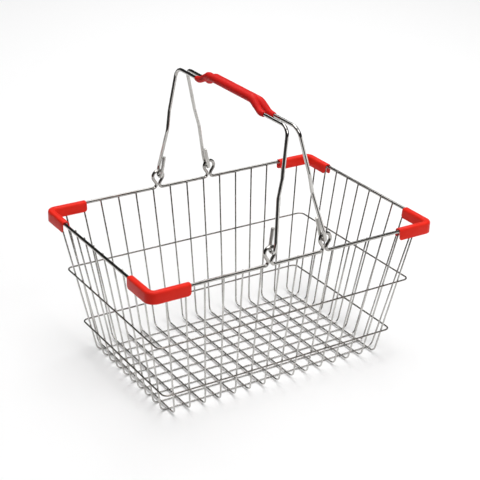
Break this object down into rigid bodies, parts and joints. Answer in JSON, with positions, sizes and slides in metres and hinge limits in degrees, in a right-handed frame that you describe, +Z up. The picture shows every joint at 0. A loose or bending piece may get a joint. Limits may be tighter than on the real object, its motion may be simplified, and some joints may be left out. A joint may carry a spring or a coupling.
{
  "type": "wire shopping basket",
  "caption": "Hand-held shopping basket of welded chromed wire, tapering to its floor, with swinging wire carrying handles, moulded grips and plastic rim corner caps.",
  "frame": {"origin": "centre of the basket's footprint, on the surface that it stands on", "axes": "+X along the long side of the rim, +Y across the basket along the hinge axes, +Z up"},
  "size_m": [0.4372, 0.303, 0.3957],
  "materials": {
    "bright_wire": "bright chrome plate on heavy round steel wire, mirror-like",
    "mesh_wire": "chrome plate on thin round steel wire, slightly drawn and less bright",
    "hoop_wire": "chrome plate on thin round steel wire, slightly warm in tone",
    "cap_plastic": "injection-moulded red plastic, semi-gloss, with softened edges",
    "grip_plastic": "moulded red plastic sleeve, semi-gloss, slightly uneven"
  },
  "bodies": {
    "basket": {"rim_wire": "bright_wire", "cross_wire_01": "mesh_wire", "cross_wire_02": "mesh_wire", "cross_wire_03": "mesh_wire", "cross_wire_04": "mesh_wire", "cross_wire_05": "mesh_wire", "cross_wire_06": "mesh_wire", "cross_wire_07": "mesh_wire", "cross_wire_08": "mesh_wire", "cross_wire_09": "mesh_wire", "cross_wire_10": "mesh_wire", "cross_wire_11": "mesh_wire", "cross_wire_12": "mesh_wire", "cross_wire_13": "mesh_wire", "cross_wire_14": "mesh_wire", "cross_wire_15": "mesh_wire", "length_wire_01": "mesh_wire", "length_wire_02": "mesh_wire", "length_wire_03": "mesh_wire", "length_wire_04": "mesh_wire", "length_wire_05": "mesh_wire", "length_wire_06": "mesh_wire", "length_wire_07": "mesh_wire", "length_wire_08": "mesh_wire", "length_wire_09": "mesh_wire", "length_wire_10": "mesh_wire", "upper_hoop": "hoop_wire", "lower_hoop": "hoop_wire", "corner_cap_front_right": "cap_plastic", "corner_cap_back_right": "cap_plastic", "corner_cap_front_left": "cap_plastic", "corner_cap_back_left": "cap_plastic"},
    "left_handle": {"left_handle_wire": "bright_wire", "left_grip": "grip_plastic"},
    "right_handle": {"right_handle_wire": "bright_wire", "right_grip": "grip_plastic"}
  },
  "joints": [
    {"name": "left_handle_hinge", "type": "hinge", "parent": "basket", "child": "left_handle", "pos_m": [-0.0428, 0, 0.2205], "axis": [0, -1, 0], "range_deg": [0, 101]},
    {"name": "right_handle_hinge", "type": "hinge", "parent": "basket", "child": "right_handle", "pos_m": [0.036, 0, 0.2205], "axis": [0, 1, 0], "range_deg": [0, 108.3]}
  ]
}
